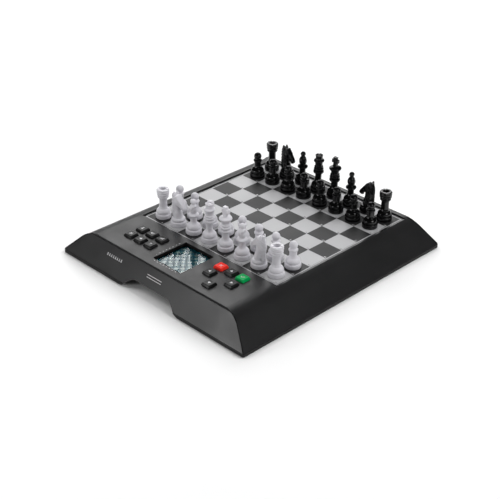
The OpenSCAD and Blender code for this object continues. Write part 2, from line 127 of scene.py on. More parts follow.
def moulded(name, color, rough, grain=1100, depth=0.012, tint=0.12, cloud=35, metal=0.0, ior=1.5,
            coat=0.0, vary=0.05, speck=0.0):
    """Plastic, rubber or metal: slow colour clouds, uneven gloss and a fine moulded grain."""
    g = Graph(name)
    low = tuple(c * (1 - tint) for c in color)
    high = tuple(min(1, c * (1 + tint)) for c in color)
    base = g.ramp(g.noise(cloud, 4), [(0.3, low), (0.7, high)])
    if speck:
        flecks = g.ramp(g.noise(grain * 1.6, 1), [(0.62, (0, 0, 0)), (0.78, (speck,) * 3)])
        base = g.add("ShaderNodeMixRGB", {"Fac": 1.0, "Color1": base, "Color2": flecks},
                     blend_type="ADD").outputs[0]
    g.into("Base Color", base)
    g.into("Roughness", g.span(g.noise(cloud * 3, 3), rough - vary, rough + vary))
    g.into("Metallic", metal)
    g.into("IOR", ior)
    g.into("Coat Weight", coat)
    g.into("Coat Roughness", 0.12)
    g.into("Normal", g.bump(g.noise(grain, 2), depth * MM))
    return g.mat


def brushed(name, color, rough, along=(1, 18, 18)):
    """Metal with fine lines along one axis."""
    g = Graph(name)
    lines = g.noise(600, 2, stretch=along)
    g.into("Base Color", g.ramp(lines, [(0.3, tuple(c * 0.8 for c in color)), (0.7, color)]))
    g.into("Metallic", 1.0)
    g.into("Roughness", g.span(lines, rough - 0.06, rough + 0.08))
    g.into("Normal", g.bump(lines, 0.01 * MM))
    return g.mat


def clear(name, tint, ior):
    """Clear moulded plastic window."""
    g = Graph(name)
    paler = tuple(min(1, c * 1.03) for c in tint)
    g.into("Base Color", g.ramp(g.noise(20, 2), [(0.3, tint), (0.7, paler)]))
    g.into("Roughness", g.span(g.noise(90, 2), 0.002, 0.008))
    g.into("Transmission Weight", 1.0)
    g.into("IOR", ior)
    return g.mat


def circuit(name):
    """Solder mask with paler tracks under it."""
    g = Graph(name)
    tracks = g.add("ShaderNodeTexBrick", {
        "Vector": g.coord, "Scale": 240.0, "Mortar Size": 0.06, "Mortar": (0.03, 0.2, 0.08, 1),
        "Color1": (0.01, 0.09, 0.035, 1), "Color2": (0.012, 0.11, 0.04, 1)})
    g.into("Base Color", tracks.outputs["Color"])
    g.into("Roughness", g.span(g.noise(120), 0.25, 0.4))
    g.into("Normal", g.bump(g.noise(500), 0.01 * MM))
    return g.mat


def jacket(name, parting=0.105, blend=0.0002):
    """Printed cell jacket, two colours that meet at a place along the cell."""
    g = Graph(name)
    y = g.add("ShaderNodeSeparateXYZ", {"Vector": g.coord}).outputs["Y"]
    band = g.span(y, 0.0, 1.0, parting, parting + blend)
    g.into("Base Color", g.ramp(band, [(0.4, (0.02, 0.05, 0.14)), (0.6, (0.55, 0.5, 0.42))]))
    g.into("Roughness", g.span(g.noise(80), 0.22, 0.34))
    g.into("Metallic", 0.35)
    g.into("Normal", g.bump(g.noise(900), 0.006 * MM))
    return g.mat


def backdrop(name, glow_start=0.6, glow_full=1.6):
    """Pale paper, kept as light far from the object as the lamps make it near the object."""
    g = Graph(name)
    g.into("Base Color", g.ramp(g.noise(3, 2), [(0.3, (0.91, 0.91, 0.91)), (0.7, (0.93, 0.93, 0.93))]))
    g.into("Roughness", g.span(g.noise(9), 0.66, 0.74))
    g.into("Normal", g.bump(g.noise(300, 2), 0.02 * MM))
    away = g.add("ShaderNodeVectorMath", {0: g.coord}, operation="LENGTH").outputs["Value"]
    g.into("Emission Color", (1, 1, 1, 1))
    g.into("Emission Strength", g.span(away, 0, 1, glow_start, glow_full))
    return g.mat


CASING = moulded("casing_plastic", (0.013, 0.013, 0.0135), 0.40, grain=1700, depth=0.02, tint=0.1, cloud=14)
# The base's plastic is darker and less glossy than the cover's: painted shade for the black band under the
# cover's edge. The same plastic paints the dark lines along the cover's edges, and also goes on the
# window's frame.
PAINTED_SHADE_BLACK = moulded("base_plastic_painted_shade", (0.004, 0.004, 0.0042), 0.50, grain=1700, depth=0.02, tint=0.1,
                     cloud=14, ior=1.35)
SILVER = moulded("board_silver", (0.396, 0.396, 0.405), 0.46, grain=2600, depth=0.006, tint=0.02, cloud=9,
                 metal=0.08, vary=0.03, speck=0.03)
DARK_INK = moulded("board_dark_ink", (0.0145, 0.0145, 0.015), 0.50, grain=2600, depth=0.006, tint=0.06,
                   cloud=12, vary=0.03, speck=0.01)
BLACK_INK = moulded("board_black_ink", (0.012, 0.012, 0.013), 0.28, grain=2600, depth=0.005, cloud=20)
PRINT_WHITE = moulded("print_white", (0.72, 0.72, 0.73), 0.45, grain=3000, depth=0.004, tint=0.05, cloud=60)
SIGN_GREY = moulded("sign_grey", (0.52, 0.52, 0.53), 0.45, grain=3000, depth=0.004, tint=0.05, cloud=60)
WHITE_MEN = moulded("men_white_plastic", (0.615, 0.605, 0.64), 0.33, grain=900, depth=0.008, tint=0.03,
                    cloud=60, vary=0.05)
BLACK_MEN = moulded("men_black_plastic", (0.0022, 0.0022, 0.0024), 0.13, grain=700, depth=0.005, tint=0.2,
                    cloud=60, vary=0.03)
KEY_MATERIAL = {
    "key_black": moulded("key_black_plastic", (0.002, 0.002, 0.0021), 0.42, grain=1500, depth=0.015),
    "key_red": moulded("key_red_plastic", (0.80, 0.03, 0.018), 0.40, grain=1500, depth=0.012, tint=0.05,
                       ior=1.25),
    "key_green": moulded("key_green_plastic", (0.0, 0.33, 0.08), 0.40, grain=1500, depth=0.012, tint=0.05,
                         ior=1.25),
}
LCD_BACK = moulded("lcd_back", (0.003, 0.045, 0.06), 0.12, grain=1800, depth=0.002, tint=0.05, cloud=30,
                   ior=1.08, vary=0.02)
LCD_MARK = moulded("lcd_mark", (0.05, 0.10, 0.095), 0.12, grain=1800, depth=0.002, tint=0.03, cloud=60,
                   ior=1.48, vary=0.02)
SLOT_MATERIAL = {
    "casing_black": CASING,
    "board_silver": SILVER,
    "foil_amber": moulded("foil_film", (0.55, 0.28, 0.06), 0.3, grain=900, coat=0.3),
    "display_glass": clear("display_window_plastic", (0.93, 0.97, 0.975), 1.12),
    "display_grey": LCD_BACK,
    "board_green": circuit("circuit_board"),
    "screw_steel": brushed("screw_metal", (0.62, 0.62, 0.63), 0.3),
    "silicone_grey": moulded("silicone", (0.16, 0.16, 0.165), 0.62, grain=700, depth=0.03),
    "speaker_metal": brushed("speaker_basket", (0.32, 0.32, 0.34), 0.38),
    "cell_jacket": jacket("cell_print"),
    "contact_steel": brushed("contact_metal", (0.72, 0.71, 0.68), 0.24),
    "socket_black": moulded("socket_plastic", (0.015, 0.015, 0.016), 0.3, grain=1200),
    "foot_rubber": moulded("foot_rubber", (0.03, 0.03, 0.03), 0.75, grain=600, depth=0.05),
    "men_white": WHITE_MEN,
    "men_black": BLACK_MEN,
    **KEY_MATERIAL,
}


# ---- mesh helpers ----------------------------------------------------------------------

def wear(mesh_or_object, material):
    data = getattr(mesh_or_object, "data", mesh_or_object)
    data.materials.clear()
    data.materials.append(material)


def new_mesh(name, verts, faces, sharp=None):
    """Mesh from points in mm, with outward faces; sharp is the angle above which edges stay hard."""
    mesh = bpy.data.meshes.new(name)
    mesh.from_pydata([tuple(c * MM for c in v) for v in verts], [], [list(f) for f in faces])
    bm = bmesh.new()
    bm.from_mesh(mesh)
    bmesh.ops.remove_doubles(bm, verts=bm.verts, dist=1e-7)
    bmesh.ops.recalc_face_normals(bm, faces=bm.faces)
    bm.to_mesh(mesh)
    bm.free()
    finish_shading(mesh, sharp)
    return mesh


def finish_shading(mesh, sharp):
    if sharp is None:
        return
    mesh.shade_smooth()
    mesh.set_sharp_from_angle(angle=math.radians(sharp))


def place(name, mesh, body, slot, at=(0, 0, 0), turn=0.0, material=None, stands_for=()):
    """Object of that mesh, riding on a body."""
    obj = bpy.data.objects.new(name, mesh)
    scene.collection.objects.link(obj)
    if material:
        wear(obj, material)
    obj.location = at
    obj.rotation_euler = (0, 0, turn)
    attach(obj, body)
    if stands_for:
        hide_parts(*stands_for)
    return obj


def baked(obj, sharp=None):
    """The mesh of obj with its modifiers applied; obj itself is removed."""
    bpy.context.view_layer.update()
    mesh = bpy.data.meshes.new_from_object(obj.evaluated_get(bpy.context.evaluated_depsgraph_get()))
    mesh.name = obj.name
    bpy.data.objects.remove(obj)
    finish_shading(mesh, sharp)
    return mesh


def loose(name, mesh):
    obj = bpy.data.objects.new(name, mesh)
    scene.collection.objects.link(obj)
    return obj


def carved(name, mesh, cutters, sharp=32):
    """mesh minus the cutter meshes."""
    obj = loose(name, mesh)
    tools = [loose(f"{name}_cutter_{i}", c) for i, c in enumerate(cutters)]
    for tool in tools:
        cut = obj.modifiers.new("cut", "BOOLEAN")
        cut.operation, cut.solver, cut.object = "DIFFERENCE", "EXACT", tool
    mesh = baked(obj, sharp)
    for tool in tools:
        bpy.data.objects.remove(tool)
    return mesh


def bevelled(name, mesh, width, segments=2, angle=30, sharp=40):
    obj = loose(name, mesh)
    mod = obj.modifiers.new("bevel", "BEVEL")
    mod.width, mod.segments = width * MM, segments
    mod.limit_method, mod.angle_limit = "ANGLE", math.radians(angle)
    return baked(obj, sharp)


def joined(name, meshes):
    """One mesh of several (mesh, Matrix or None) pairs."""
    bm = bmesh.new()
    for mesh, matrix in meshes:
        start = len(bm.verts)
        bm.from_mesh(mesh)
        if matrix is not None:
            bm.verts.ensure_lookup_table()
            bmesh.ops.transform(bm, matrix=matrix, verts=bm.verts[start:])
    out = bpy.data.meshes.new(name)
    bm.to_mesh(out)
    bm.free()
    return out


def boxes_mesh(name, boxes):
    """Closed boxes, each ((x0, x1), (y0, y1), (z0, z1)) in mm, as one mesh."""
    verts, faces = [], []
    for x, y, z in boxes:
        n = len(verts)
        verts += [(x[i], y[j], z[k]) for k in (0, 1) for j in (0, 1) for i in (0, 1)]
        faces += [[n + i for i in f] for f in ((0, 2, 3, 1), (4, 5, 7, 6), (0, 1, 5, 4), (2, 6, 7, 3),
                                               (0, 4, 6, 2), (1, 3, 7, 5))]
    return new_mesh(name, verts, faces)


def strips(cx, cy, inner, outer):
    """Four strips between two rectangles round one centre, each given by its half sizes (x, y) in mm."""
    (ix, iy), (ox, oy) = inner, outer
    return [((cx - ox, cx + ox), (cy - oy, cy - iy)), ((cx - ox, cx + ox), (cy + iy, cy + oy)),
            ((cx - ox, cx - ix), (cy - iy, cy + iy)), ((cx + ix, cx + ox), (cy - iy, cy + iy))]


def prism(name, outlines, z0, z1):
    """Flat outlines in mm, each raised from z0 to z1, as one mesh."""
    verts, faces = [], []
    for outline in outlines:
        n, k = len(verts), len(outline)
        verts += [(x, y, z0) for x, y in outline] + [(x, y, z1) for x, y in outline]
        faces += [list(range(n + k - 1, n - 1, -1)), list(range(n + k, n + 2 * k))]
        faces += [[n + i, n + (i + 1) % k, n + k + (i + 1) % k, n + k + i] for i in range(k)]
    return new_mesh(name, verts, faces)


def tube(r, h, n):
    """Points in mm and faces of a closed round bar along +Z."""
    turn = [(r * math.cos(t), r * math.sin(t)) for t in np.linspace(0, math.tau, n, endpoint=False)]
    verts = [(x, y, 0) for x, y in turn] + [(x, y, h) for x, y in turn]
    faces = [list(range(n - 1, -1, -1)), list(range(n, 2 * n))]
    return verts, faces + [[i, (i + 1) % n, n + (i + 1) % n, n + i] for i in range(n)]


# ---- turned men ------------------------------------------------------------------------

def curve(points, steps=5):
    """Catmull-Rom curve through the points; two points stay a straight line."""
    p = [np.array(q, float) for q in points]
    if len(p) < 3:
        return p
    out = []
    for i in range(len(p) - 1):
        a = 2 * p[0] - p[1] if i == 0 else p[i - 1]
        b, c = p[i], p[i + 1]
        d = 2 * p[i + 1] - p[i] if i == len(p) - 2 else p[i + 2]
        for j in range(steps):
            t = j / steps
            out.append(0.5 * (2 * b + (c - a) * t + (2 * a - 5 * b + 4 * c - d) * t * t
                              + (3 * b - a - 3 * c + d) * t ** 3))
    return out + [p[-1]]


def softened(points, radius, turn=26, steps=3):
    """The line with each corner that turns sharply rounded off."""
    out = [points[0]]
    for a, b, c in zip(points, points[1:], points[2:]):
        u, v = b - a, c - b
        lu, lv = np.linalg.norm(u), np.linalg.norm(v)
        bend = math.acos(max(-1, min(1, float(u @ v) / (lu * lv))))
        if math.degrees(bend) < turn:
            out.append(b)
            continue
        cut = min(radius * math.tan(bend / 2), 0.42 * lu, 0.42 * lv)
        s, e = b - u / lu * cut, b + v / lv * cut
        out += [(1 - t) ** 2 * s + 2 * t * (1 - t) * b + t * t * e for t in np.linspace(0, 1, steps + 1)]
    return out + [points[-1]]


def lathe(name, runs, around=72, radius=0.35):
    """Turned solid from profile runs of (radius, height) in mm, from the axis round to the axis."""
    line = []
    for run in runs:
        for p in curve(run):
            if not line or np.linalg.norm(p - line[-1]) > 1e-3:
                line.append(p)
    line = softened(line, radius)
    verts, rings = [], []
    for r, z in line:
        if r < 1e-4:
            rings.append([len(verts)])
            verts.append((0, 0, z))
        else:
            rings.append(list(range(len(verts), len(verts) + around)))
            verts += [(r * math.cos(t), r * math.sin(t), z)
                      for t in np.linspace(0, math.tau, around, endpoint=False)]
    faces = []
    for a, b in zip(rings, rings[1:]):
        for i in range(around):
            j = (i + 1) % around
            if len(a) > 1 and len(b) > 1:
                faces.append([a[i], a[j], b[j], b[i]])
            elif len(a) > 1:
                faces.append([a[i], a[j], b[0]])
            elif len(b) > 1:
                faces.append([a[0], b[j], b[i]])
    return new_mesh(name, verts, faces, sharp=50)


BASE_R = 8.8        # every man's foot, mm


def foot():
    """Foot disc and the groove over it, which every man has."""
    return [[(0, 0), (BASE_R - 0.6, 0)],
            [(BASE_R - 0.6, 0), (BASE_R, 0.7), (BASE_R, 4.2), (BASE_R - 0.35, 5)],
            [(BASE_R - 1.2, 5.5)]]


def base_runs(stem, top):
    """Foot, bell and a straight stem of that radius up to that height."""
    return foot() + [[(BASE_R - 1.2, 6), (BASE_R - 0.95, 7), (BASE_R - 1.15, 8.6), (BASE_R - 2.2, 10.4),
                      (BASE_R - 3.6, 11.6)],
                     [(stem + 0.7, 12.2), (stem + 0.2, 13.6), (stem, 15), (stem, top)]]


def ring(r, z, h, out):
    """Round bead of height h that stands out from radius r."""
    return [(r, z), (r + out * 0.8, z + h * 0.2), (r + out, z + h * 0.5), (r + out * 0.8, z + h * 0.8),
            (r, z + h)]


def ball(z, r, neck):
    """Ball of radius r about height z, starting where it meets a neck of radius neck."""
    start = -math.acos(neck / r)
    return [(r * math.cos(a), z + r * math.sin(a)) for a in np.linspace(start, math.pi / 2, 14)]


def pawn():
    return lathe("pawn", base_runs(4, 19.2) + [ring(4, 19.2, 2.8, 1.1), [(3.6, 22.4)], ball(26, 4.5, 3.4)],
                 radius=0.25)


def rook():
    body = lathe("rook", base_runs(4.4, 23.4) + [
        [(4.4, 23.4), (4.7, 24.2), (6, 25), (6.3, 26), (5.9, 27)],
        [(5.7, 27.3)], [(6.4, 27.8), (6.95, 28.8), (6.7, 30)],
        [(6.5, 30.3)], [(6.9, 30.8), (7.15, 31.8), (6.95, 32.8)],
        [(6.75, 33.1)], [(7.05, 33.5), (7.1, 34.4), (6.3, 35.4)],
        [(3.9, 35.4), (3.5, 34.9)], [(3.5, 31.4), (0, 31.4)]], radius=0.2)
    count, start = 6, 15
    notches = []
    for i in range(count):
        bar = boxes_mesh("notch", [((3, 8), (-0.5, 0.5), (34.8, 37))])
        bar.transform(Matrix.Rotation(math.radians(360 / count * i + start), 4, "Z"))
        notches.append(bar)
    return carved("rook", body, notches)


def bishop():
    body = lathe("bishop", base_runs(3.6, 19.4) + [
        [(3.6, 19.4), (5.4, 20.5), (6.1, 21.8), (5.7, 23), (4.1, 23.8), (3.3, 24.7)],
        [(3.3, 24.7), (4.2, 26.6), (4.6, 29), (4.4, 31.4), (3.5, 33.4), (2.4, 34.8), (2.1, 35.3)],
        ball(37.9, 3.1, 2.1)], radius=0.25)
    slit = boxes_mesh("slit", [((0, 8), (-8, 8), (-0.45, 0.45))])
    slit.transform(Matrix.Translation((1.2 * MM, 0, 30 * MM)) @ Matrix.Rotation(math.radians(-40), 4, "Y"))
    return carved("bishop", body, [slit])


def queen():
    body = lathe("queen", base_runs(3.8, 22.2) + [
        ring(4.6, 22.2, 4.2, 1.6), ring(4.7, 26.7, 2.7, 1.1), ring(4.5, 29.7, 2.1, 0.8),
        [(4.5, 31.8), (4.4, 33.2), (4.6, 35.2), (5.4, 36.8)],
        [(5.4, 36.8), (6.1, 37.6), (6.15, 38.6), (5.6, 39.4)],
        [(4.4, 40)], [(4.2, 40.6), (4.1, 42.2), (4.4, 44), (4.5, 45.4)],
        [(3.4, 45.4)], [(3.1, 44.2)], [(2.9, 44.2), (1.6, 45), (0, 45.3)]], radius=0.2)
    count = 8
    lie_down = Matrix.Translation((2.8 * MM, 0, 45.6 * MM)) @ Matrix.Rotation(math.radians(90), 4, "Y")
    dips = []
    for i in range(count):
        dip = new_mesh("dip", *tube(0.8, 3, 20))
        dip.transform(Matrix.Rotation(math.radians(360 / count * i), 4, "Z") @ lie_down)
        dips.append(dip)
    return carved("queen", body, dips)


def king():
    body = lathe("king", base_runs(4, 20.8) + [
        ring(4.7, 20.8, 3.9, 1.6), ring(4.8, 24.9, 3.3, 1.2), ring(4.7, 28.4, 2.2, 0.7),
        [(4.7, 30.6), (4.6, 31.8), (5, 33.4), (6.1, 35.2), (7, 36.4)],
        [(7, 36.4), (7.2, 37.2), (6.8, 38.1)],
        [(6.8, 38.1), (4.8, 39), (2.9, 39.6)], [(0, 39.6)]], radius=0.2)
    arm, tip, waist, mid, top, half = 4.3, 2.3, 1.9, 46.2, 51, 2
    outline = [(-2.7, 39.2), (2.7, 39.2), (waist, mid - waist), (arm, mid - tip), (arm, mid + tip),
               (waist, mid + waist), (tip + 0.3, top), (-tip - 0.3, top), (-waist, mid + waist),
               (-arm, mid + tip), (-arm, mid - tip), (-waist, mid - waist)]
    cross = prism("cross", [outline], -half, half)
    cross.transform(Matrix.Rotation(math.radians(90), 4, "X"))
    cross = bevelled("cross", cross, 0.45, 3)
    mesh = joined("king", [(body, None), (cross, None)])
    finish_shading(mesh, 50)
    return mesh


# ---- knight ----------------------------------------------------------------------------

def surface_net(field, low, step):
    """Closed quad mesh on the zero level of a sampled field that is negative inside."""
    inside = field < 0
    corners = [(i, j, k) for i in (0, 1) for j in (0, 1) for k in (0, 1)]
    nx, ny, nz = (n - 1 for n in field.shape)

    def part(array, c):
        return array[c[0]:c[0] + nx, c[1]:c[1] + ny, c[2]:c[2] + nz]

    count = sum(part(inside, c).astype(int) for c in corners)
    crossed = (count > 0) & (count < 8)
    index = -np.ones(crossed.shape, int)
    index[crossed] = np.arange(crossed.sum())
    total = np.zeros((crossed.sum(), 3))
    hits = np.zeros(crossed.sum())
    for a in corners:
        for axis in range(3):
            if a[axis]:
                continue
            b = tuple(1 if n == axis else a[n] for n in range(3))
            fa, fb = part(field, a)[crossed], part(field, b)[crossed]
            cut = (fa < 0) != (fb < 0)
            t = np.where(cut, fa / np.where(cut, fa - fb, 1), 0)
            point = np.array(a) + np.eye(3)[axis] * t[:, None]
            total += point * cut[:, None]
            hits += cut
    cells = np.argwhere(crossed)
    verts = (cells + total / hits[:, None]) * step + low
    faces = []
    for axis in range(3):
        u, v = (axis + 1) % 3, (axis + 2) % 3
        here = np.take(inside, range(field.shape[axis] - 1), axis)
        after = np.take(inside, range(1, field.shape[axis]), axis)
        for flip, mask in ((False, here & ~after), (True, ~here & after)):
            e = np.argwhere(mask)
            eu, ev = e[:, u], e[:, v]
            e = e[(eu > 0) & (ev > 0) & (eu < crossed.shape[u]) & (ev < crossed.shape[v])]
            du, dv = np.eye(3, dtype=int)[u], np.eye(3, dtype=int)[v]
            quad = [index[tuple((e - s * du - t * dv).T)] for s, t in ((1, 1), (0, 1), (0, 0), (1, 0))]
            faces.append(np.stack(quad[::-1] if flip else quad, 1))
    return verts, np.concatenate(faces)


def blend_min(a, b, k):
    """Union of two fields, rounded over a width of about k."""
    h = np.clip(0.5 + 0.5 * (b - a) / k, 0, 1)
    return b + (a - b) * h - k * h * (1 - h)


def ellipsoid(p, centre, radii):
    """Distance field of an ellipsoid, near enough close to its surface."""
    q = (p - np.array(centre)) / np.array(radii)
    k0 = np.linalg.norm(q, axis=-1)
    k1 = np.linalg.norm(q / np.array(radii), axis=-1)
    return k0 * (k0 - 1) / np.maximum(k1, 1e-6)


def cone(p, a, b, ra, rb, squeeze=1.0):
    """Round cone from a to b; squeeze flattens it sideways."""
    q = p * np.array([1, 1 / squeeze, 1])
    a, b = np.array(a) * [1, 1 / squeeze, 1], np.array(b) * [1, 1 / squeeze, 1]
    d = b - a
    t = np.clip(((q - a) @ d) / (d @ d), 0, 1)
    return (np.linalg.norm(q - a - t[..., None] * d, axis=-1) - (ra + (rb - ra) * t)) * min(1, squeeze)


def smooth_step(x, a, b):
    t = np.clip((x - a) / (b - a), 0, 1)
    return t * t * (3 - 2 * t)


def head_block(p, start, end, high, wide, rim):
    """Tapered block with rounded edges along the line from start to end: a horse's flat-sided head."""
    d = np.array(end) - np.array(start)
    length = np.linalg.norm(d)
    d = d / length
    up = np.array([-d[2], 0, d[0]])
    q = p - np.array(start)
    u, v, w = q @ d, q @ up, q[..., 1]
    t = np.clip(u / length, 0, 1)
    a = high[0] + (high[1] - high[0]) * t - rim
    b = wide[0] + (wide[1] - wide[0]) * t - rim
    du = np.abs(u - length / 2) - length / 2 + rim
    dist = np.stack([du, np.abs(v) - a, np.abs(w) - b], -1)
    return (np.linalg.norm(np.maximum(dist, 0), axis=-1) + np.minimum(dist.max(-1), 0) - rim) * 0.95


def knight(step=0.3):
    """Horse's head and neck looking along +X on a turned base."""
    low = np.array([-10.0, -8.0, 5.8])
    shape = np.array([24, 16, 36]) / step
    axes = [low[i] + np.arange(int(shape[i]) + 1) * step for i in range(3)]
    p = np.stack(np.meshgrid(*axes, indexing="ij"), -1)
    side = p.copy()
    side[..., 1] = np.abs(side[..., 1])
    x, y, z = side[..., 0], side[..., 1], side[..., 2]
    # neck and chest
    body = cone(side, (0, 0, 6), (-0.8, 0, 14), 6.6, 5.3, 0.9)
    body = blend_min(body, cone(side, (-0.8, 0, 14), (-2.5, 0, 23), 5.2, 5.0, 0.84), 1.5)
    body = blend_min(body, cone(side, (-2.5, 0, 23), (-2.8, 0, 32), 5.0, 4.8, 0.80), 1.5)
    # head: flat forehead and cheeks, round jaw, muzzle with lips
    head = head_block(side, (-2.6, 0, 33.8), (9.6, 0, 22.6), (4.4, 2.2), (4.5, 2.7), 1.3)
    head = blend_min(head, ellipsoid(side, (0.6, 1.6, 28.6), (4.4, 2.9, 4.4)), 1.2)
    head = blend_min(head, ellipsoid(side, (9.4, 0.9, 22.4), (2.2, 2.0, 2.3)), 0.8)
    head = blend_min(head, ellipsoid(side, (8.2, 0.5, 20.9), (2.0, 1.6, 1.3)), 0.5)
    body = blend_min(body, head, 0.8)
    # brow over the eye, eyeball, nostril, mouth
    body = blend_min(body, cone(side, (1.4, 3.6, 33.2), (4.8, 3.2, 30.8), 0.7, 0.5), 0.8)
    body = blend_min(body, ellipsoid(side, (3.5, 3.4, 30.6), (0.95, 0.7, 0.8)), 0.25)
    body = np.maximum(body, -ellipsoid(side, (10.7, 1.9, 23.0), (0.75, 0.55, 0.5)))
    mouth = cone(side, (12.0, 2.4, 20.9), (7.6, 2.7, 22.2), 0.28, 0.2)
    body = np.maximum(body, -mouth)
    # ears with a hollow in front
    ears = cone(side, (-3.6, 2.5, 35.4), (-4.3, 3.1, 38.2), 1.9, 1.0)
    body = blend_min(body, ears, 0.7)
    body = np.maximum(body, -cone(side, (-1.9, 3.0, 36.2), (-3.2, 3.4, 38.6), 0.7, 0.3))
    # mane: a ridge down the back, combed into strands that sweep forward and down
    spine = -7.2 + 0.9 * smooth_step(z, 30, 38) + 0.6 * smooth_step(-z, -12, -8)
    ridge = np.hypot((x - spine) * 0.9, y * 1.15) - (1.9 - 0.6 * smooth_step(z, 30, 38))
    body = blend_min(body, np.maximum(ridge, np.maximum(z - 38.2, 8.5 - z)), 1.2)
    reach = smooth_step(-(x + 0.10 * (z - 22)), -0.6, 1.6) * smooth_step(z, 8.0, 10.5)
    reach = reach * smooth_step(38.5 - z, 0, 2)
    comb = np.sin((z * 0.62 - x * 0.95 + 0.45 * y) * 1.45 + 0.5 * np.sin(z * 0.4))
    body = body + reach * (0.75 * (1 - np.abs(comb)) ** 2 - 0.25)
    body = np.maximum(body, 6.6 - z)
    verts, faces = surface_net(body, low, step)
    skin = bpy.data.meshes.new("knight_skin")
    skin.from_pydata([tuple(v * MM) for v in verts], [], faces.tolist())
    obj = loose("knight_skin", skin)
    mod = obj.modifiers.new("smooth", "SMOOTH")
    mod.factor, mod.iterations = 0.5, 2
    skin = baked(obj, 180)
    base = lathe("knight_base", foot() + [
        [(BASE_R - 1.2, 6), (BASE_R - 0.95, 7), (BASE_R - 1.2, 8.4), (BASE_R - 2.2, 9.6)], [(0, 9.6)]])
    mesh = joined("knight", [(base, None), (skin, None)])
    finish_shading(mesh, 50)
    return mesh


MAKERS = {"pawn": pawn, "rook": rook, "bishop": bishop, "queen": queen, "king": king, "knight": knight}
for kind, maker in MAKERS.items():
    shape = maker()
    for side, slot, material in (("white", "men_white", WHITE_MEN), ("black", "men_black", BLACK_MEN)):
        mesh = shape.copy()
        mesh.name = f"{side}_{kind}_mesh"
        wear(mesh, material)
        for node in sorted(n for n in nodes if n.startswith(f"{side}_{kind}")):
            lo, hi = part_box(node)
            mid = (lo + hi) / 2
            file = round((mid.x - BOARD.x) / SQUARE + 3.5)
            row = round((mid.y - BOARD.y) / SQUARE + 3.5)
            at = (BOARD.x + (file - 3.5) * SQUARE, BOARD.y + (row - 3.5) * SQUARE, lo.z)
            turn = math.pi if kind == "knight" and file > 3 else 0.0
            place(f"{node}_shape", mesh, node, slot, at, turn, stands_for=[node])


# ---- playing surface -------------------------------------------------------------------

INK = 0.03           # thickness of print, mm
SINK = 0.01          # how far print reaches into the face under it, mm
bx, by, bz = BOARD / MM
sq = SQUARE / MM
half = FIELD / MM


def ink(name, boxes, material, slot="board_silver", z=bz, thick=INK):
    mesh = boxes_mesh(name, [(x, y, (z - SINK, z + thick)) for x, y in boxes])
    return place(name, mesh, "casing", slot, material=material)


def border(inner, outer):
    """Strips round the centre of the board, between two half widths in mm."""
    return strips(bx, by, (inner, inner), (outer, outer))


dark = [((bx - half + i * sq, bx - half + (i + 1) * sq), (by - half + j * sq, by - half + (j + 1) * sq))
        for i in range(8) for j in range(8) if (i + j) % 2 == 0]
ink("board_dark_squares", dark, DARK_INK)
edge = (SHEET_HI.x - SHEET_LO.x) / 2 / MM
inner_line, silver_line = 0.45, 1.0
ink("board_border_inner_line", border(half, half + inner_line), BLACK_INK)
ink("board_border_band", border(half + inner_line + silver_line, edge - 0.05), BLACK_INK)


def lettering(name, entries, size, material, slot, z, thick=INK):
    """Board coordinates: entries of (text, x, y) in mm, as one flat raised mesh."""
    parts = []
    for text, x, y in entries:
        data = bpy.data.curves.new("label", "FONT")
        data.body, data.size, data.extrude = text, size * MM, thick * MM / 2
        data.align_x, data.align_y = "CENTER", "CENTER"
        data.resolution_u = 3
        obj = loose("label", data)
        mesh = baked(obj)
        parts.append((mesh, Matrix.Translation((x * MM, y * MM, z * MM + thick * MM / 2))))
    mesh = joined(name, parts)
    return place(name, mesh, "casing", slot, material=material)


mark_size, mark_in, mark_up = 2.6, 2.3, 1.7
for tone, material, odd, lift in (("on_light", BLACK_INK, 1, 0), ("on_dark", PRINT_WHITE, 0, INK)):
    marks = [(f"{FILES[i].upper()}{j + 1}",
              bx - half + (i + 1) * sq - mark_in, by - half + j * sq + mark_up)
             for i in range(8) for j in range(8) if (i + j) % 2 == odd]
    lettering(f"board_marks_{tone}", marks, mark_size, material, "board_silver", bz + lift)


# ---- display ---------------------------------------------------------------------------

glass_lo, glass_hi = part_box("display_glass")
wx, wy = ((glass_lo + glass_hi) / 2).xy / MM
cell, gap = 4.7, 0.35
lcd_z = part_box("display_module")[1].z / MM
pale = [((wx - 4 * cell + i * cell + gap, wx - 3 * cell + i * cell - gap),
         (wy - 4 * cell + j * cell + gap, wy - 3 * cell + j * cell - gap))
        for i in range(8) for j in range(8) if (i + j) % 2]
ink("display_pattern", pale, LCD_MARK, "display_grey", z=lcd_z)

# half sizes of the opening in the cover, then the coordinates beside it
window_x, window_y = 21.7, 23.7
label_size, rank_x, file_y = 2.2, wx - window_x - 2.6, wy - window_y - 2.4
ranks = [(str(j + 1), rank_x, wy + (j - 3.5) * cell) for j in range(8)]
files = [(FILES[i].upper(), wx + (i - 3.5) * cell, file_y) for i in range(8)]
lettering("window_marks", ranks + files, label_size, PRINT_WHITE, "casing_black", PANEL_Z / MM)

# stepped frame between the cover's opening and the glass
frame_steps, step_w, step_h, first_drop = 3, 0.5, 0.6, 0.5
ledges = []
for k in range(frame_steps):
    outer = (window_x - step_w * k, window_y - step_w * k)
    inner = (outer[0] - step_w, outer[1] - step_w)
    heights = (glass_hi.z / MM - 0.05, PANEL_Z / MM - first_drop - step_h * k)
    ledges += [(x, y, heights) for x, y in strips(wx, wy, inner, outer)]
place("display_frame", boxes_mesh("display_frame", ledges), "casing", "casing_black", material=PAINTED_SHADE_BLACK)


# ---- keys ------------------------------------------------------------------------------

CORNER = 6           # points in each corner of a key's outline
RING = 4 * CORNER


def rounded_square(half_w, radius):
    pts = []
    for sx, sy, start in ((1, 1, 0), (-1, 1, 90), (-1, -1, 180), (1, -1, 270)):
        for a in np.linspace(start, start + 90, CORNER):
            pts.append((sx * (half_w - radius) + radius * math.cos(math.radians(a)),
                        sy * (half_w - radius) + radius * math.sin(math.radians(a))))
    return pts


